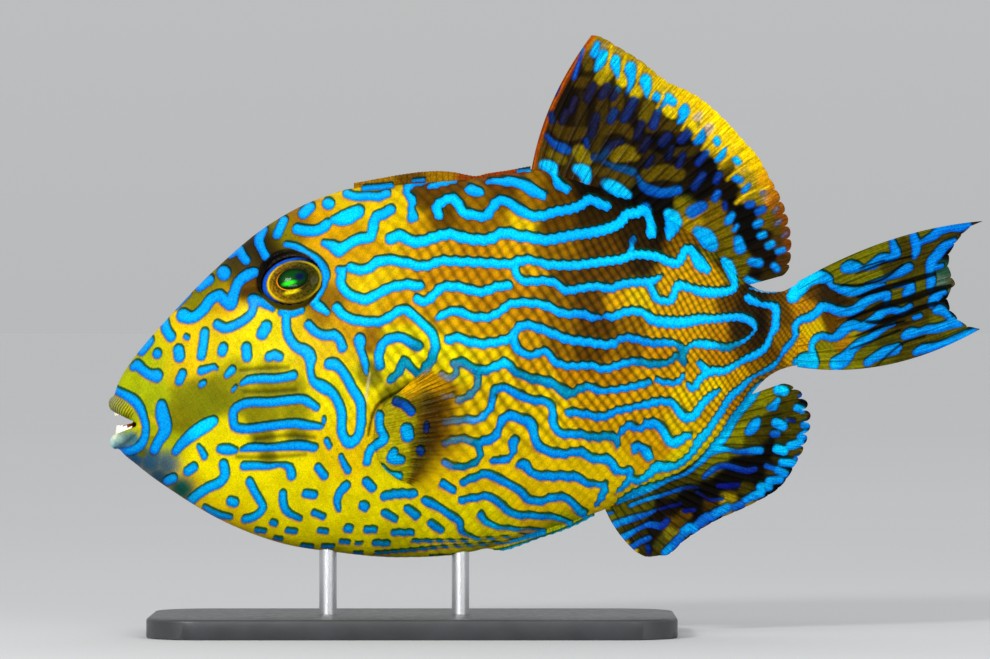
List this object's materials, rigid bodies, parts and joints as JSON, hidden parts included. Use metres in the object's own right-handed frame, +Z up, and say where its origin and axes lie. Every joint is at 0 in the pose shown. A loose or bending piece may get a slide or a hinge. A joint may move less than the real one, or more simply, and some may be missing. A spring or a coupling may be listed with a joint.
{
  "type": "triggerfish",
  "caption": "Blueline triggerfish, a deep flat-sided reef fish with tall soft fins and a forked tail, swimming a little nose down, held on a plain display stand",
  "frame": {"origin": "on the floor under the middle of the model's length, in the fish's middle plane", "axes": "+Z up, the tail to +X and the snout to -X, the fish's left side to -Y"},
  "size_m": [0.35, 0.104, 0.2392],
  "materials": {
    "skin_yellow": "wet scaled skin, yellow to orange brown with blue lines",
    "skin_brown": "wet scaled skin, dark brown with blue lines",
    "fin_brown": "thin fin membrane over rays, brown with blue cells",
    "fin_blue": "thin fin membrane over rays, blue and brown",
    "eye_gold": "glossy wet eye, brown iris with a gold rim",
    "stand_grey": "satin dark grey",
    "rod_steel": "brushed"
  },
  "bodies": {
    "root": {"head": "skin_yellow", "trunk": "skin_yellow", "tail_stem": "skin_brown", "eye_left": "eye_gold", "eye_right": "eye_gold", "first_dorsal_fin": "skin_brown", "dorsal_fin": "fin_brown", "anal_fin": "fin_brown", "tail_fin": "fin_blue", "pectoral_fin_left": "fin_brown", "pectoral_fin_right": "fin_brown", "pelvic_flap": "skin_yellow", "stand_base": "stand_grey", "stand_rod_front": "rod_steel", "stand_rod_rear": "rod_steel"}
  },
  "joints": []
}
